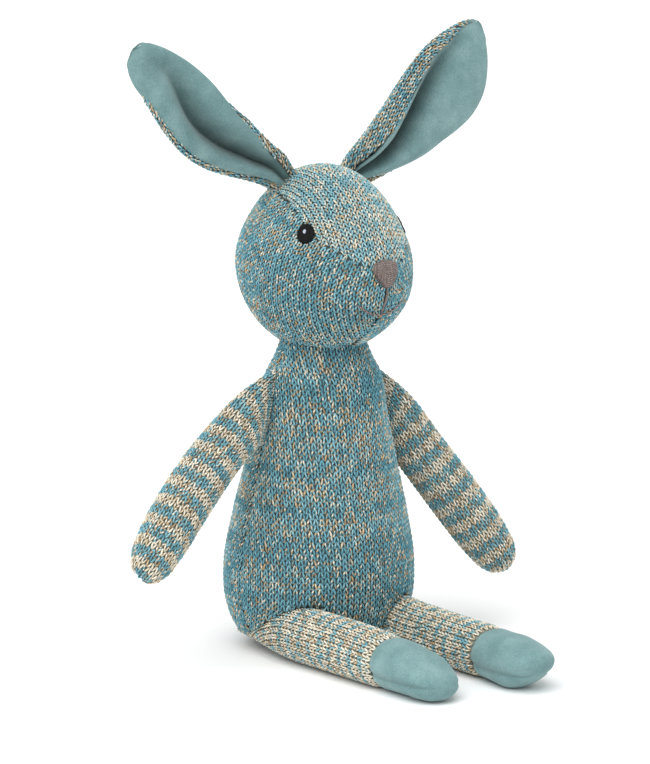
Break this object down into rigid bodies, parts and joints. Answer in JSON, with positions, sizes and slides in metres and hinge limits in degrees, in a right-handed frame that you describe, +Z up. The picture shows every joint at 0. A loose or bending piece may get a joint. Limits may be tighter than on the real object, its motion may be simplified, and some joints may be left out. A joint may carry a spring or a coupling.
{
  "type": "stuffed bunny rabbit",
  "caption": "Sitting knitted soft toy rabbit with velour-lined ears and feet, sewn head, arms and legs that flex at their seams.",
  "frame": {"origin": "on the floor under the middle of the seat", "axes": "+Z up, the face and the legs point along -Y, the rabbit's left side is +X"},
  "size_m": [0.2031, 0.1751, 0.2781],
  "materials": {
    "knit_marl": "fine stockinette knit in teal cotton flecked with cream and tan",
    "knit_striped": "fine stockinette knit in narrow cream and teal stripes",
    "knit_dashed": "stockinette knit, cream with rows of short teal dashes lying along the leg",
    "velour": "short pile velour in one pale teal, soft sheen",
    "fibre_fill": "loose polyester fibre filling",
    "pouch_cloth": "plain woven cotton pouch of plastic pellets",
    "thread_black": "black satin-stitch embroidery thread",
    "thread_white": "pale grey embroidery thread",
    "thread_taupe": "taupe satin-stitch embroidery thread"
  },
  "bodies": {
    "torso": {"torso_front_panel": "knit_marl", "torso_back_panel": "knit_marl", "torso_stuffing": "fibre_fill", "seat_pellet_pouch": "pouch_cloth"},
    "head": {"head_gusset": "knit_marl", "head_side_left": "knit_marl", "head_side_right": "knit_marl", "head_stuffing": "fibre_fill", "eye_left": "thread_black", "eye_left_glint": "thread_white", "eye_right": "thread_black", "eye_right_glint": "thread_white", "nose": "thread_taupe", "mouth": "thread_taupe"},
    "ear_left": {"ear_left_back": "knit_marl", "ear_left_lining": "velour"},
    "ear_right": {"ear_right_back": "knit_marl", "ear_right_lining": "velour"},
    "arm_left": {"arm_left_sleeve": "knit_striped", "arm_left_stuffing": "fibre_fill"},
    "arm_right": {"arm_right_sleeve": "knit_striped", "arm_right_stuffing": "fibre_fill"},
    "leg_left": {"leg_left_sleeve": "knit_dashed", "foot_left_upper": "velour", "foot_left_sole": "velour", "leg_left_stuffing": "fibre_fill"},
    "leg_right": {"leg_right_sleeve": "knit_dashed", "foot_right_upper": "velour", "foot_right_sole": "velour", "leg_right_stuffing": "fibre_fill"}
  },
  "joints": [
    {"name": "head_nod", "type": "hinge", "parent": "torso", "child": "head", "pos_m": [0, -0.003, 0.1335], "axis": [1, 0, 0], "range_deg": [-15, 15], "stiffness_Nm_per_rad": 0.09},
    {"name": "ear_left_fold", "type": "hinge", "parent": "head", "child": "ear_left", "pos_m": [0.0195, -0.001, 0.2105], "axis": [-0.715, 0, 0.6991], "range_deg": [-40, 40], "stiffness_Nm_per_rad": 0.012},
    {"name": "ear_right_fold", "type": "hinge", "parent": "head", "child": "ear_right", "pos_m": [-0.0195, -0.001, 0.2105], "axis": [-0.6377, 0, -0.7703], "range_deg": [-40, 40], "stiffness_Nm_per_rad": 0.012},
    {"name": "arm_left_swing", "type": "hinge", "parent": "torso", "child": "arm_left", "pos_m": [0.0295, -0.002, 0.112], "axis": [0.2201, 0, -0.9755], "range_deg": [-45, 12], "stiffness_Nm_per_rad": 0.012},
    {"name": "arm_right_swing", "type": "hinge", "parent": "torso", "child": "arm_right", "pos_m": [-0.0295, -0.002, 0.112], "axis": [0.2201, 0, 0.9755], "range_deg": [-40, 30], "stiffness_Nm_per_rad": 0.012},
    {"name": "leg_left_drop", "type": "hinge", "parent": "torso", "child": "leg_left", "pos_m": [0.02, 0.02, 0.0049], "axis": [1, 0, 0], "range_deg": [0, 90]},
    {"name": "leg_right_drop", "type": "hinge", "parent": "torso", "child": "leg_right", "pos_m": [-0.029, 0.02, 0.0049], "axis": [1, 0, 0], "range_deg": [0, 90]}
  ]
}
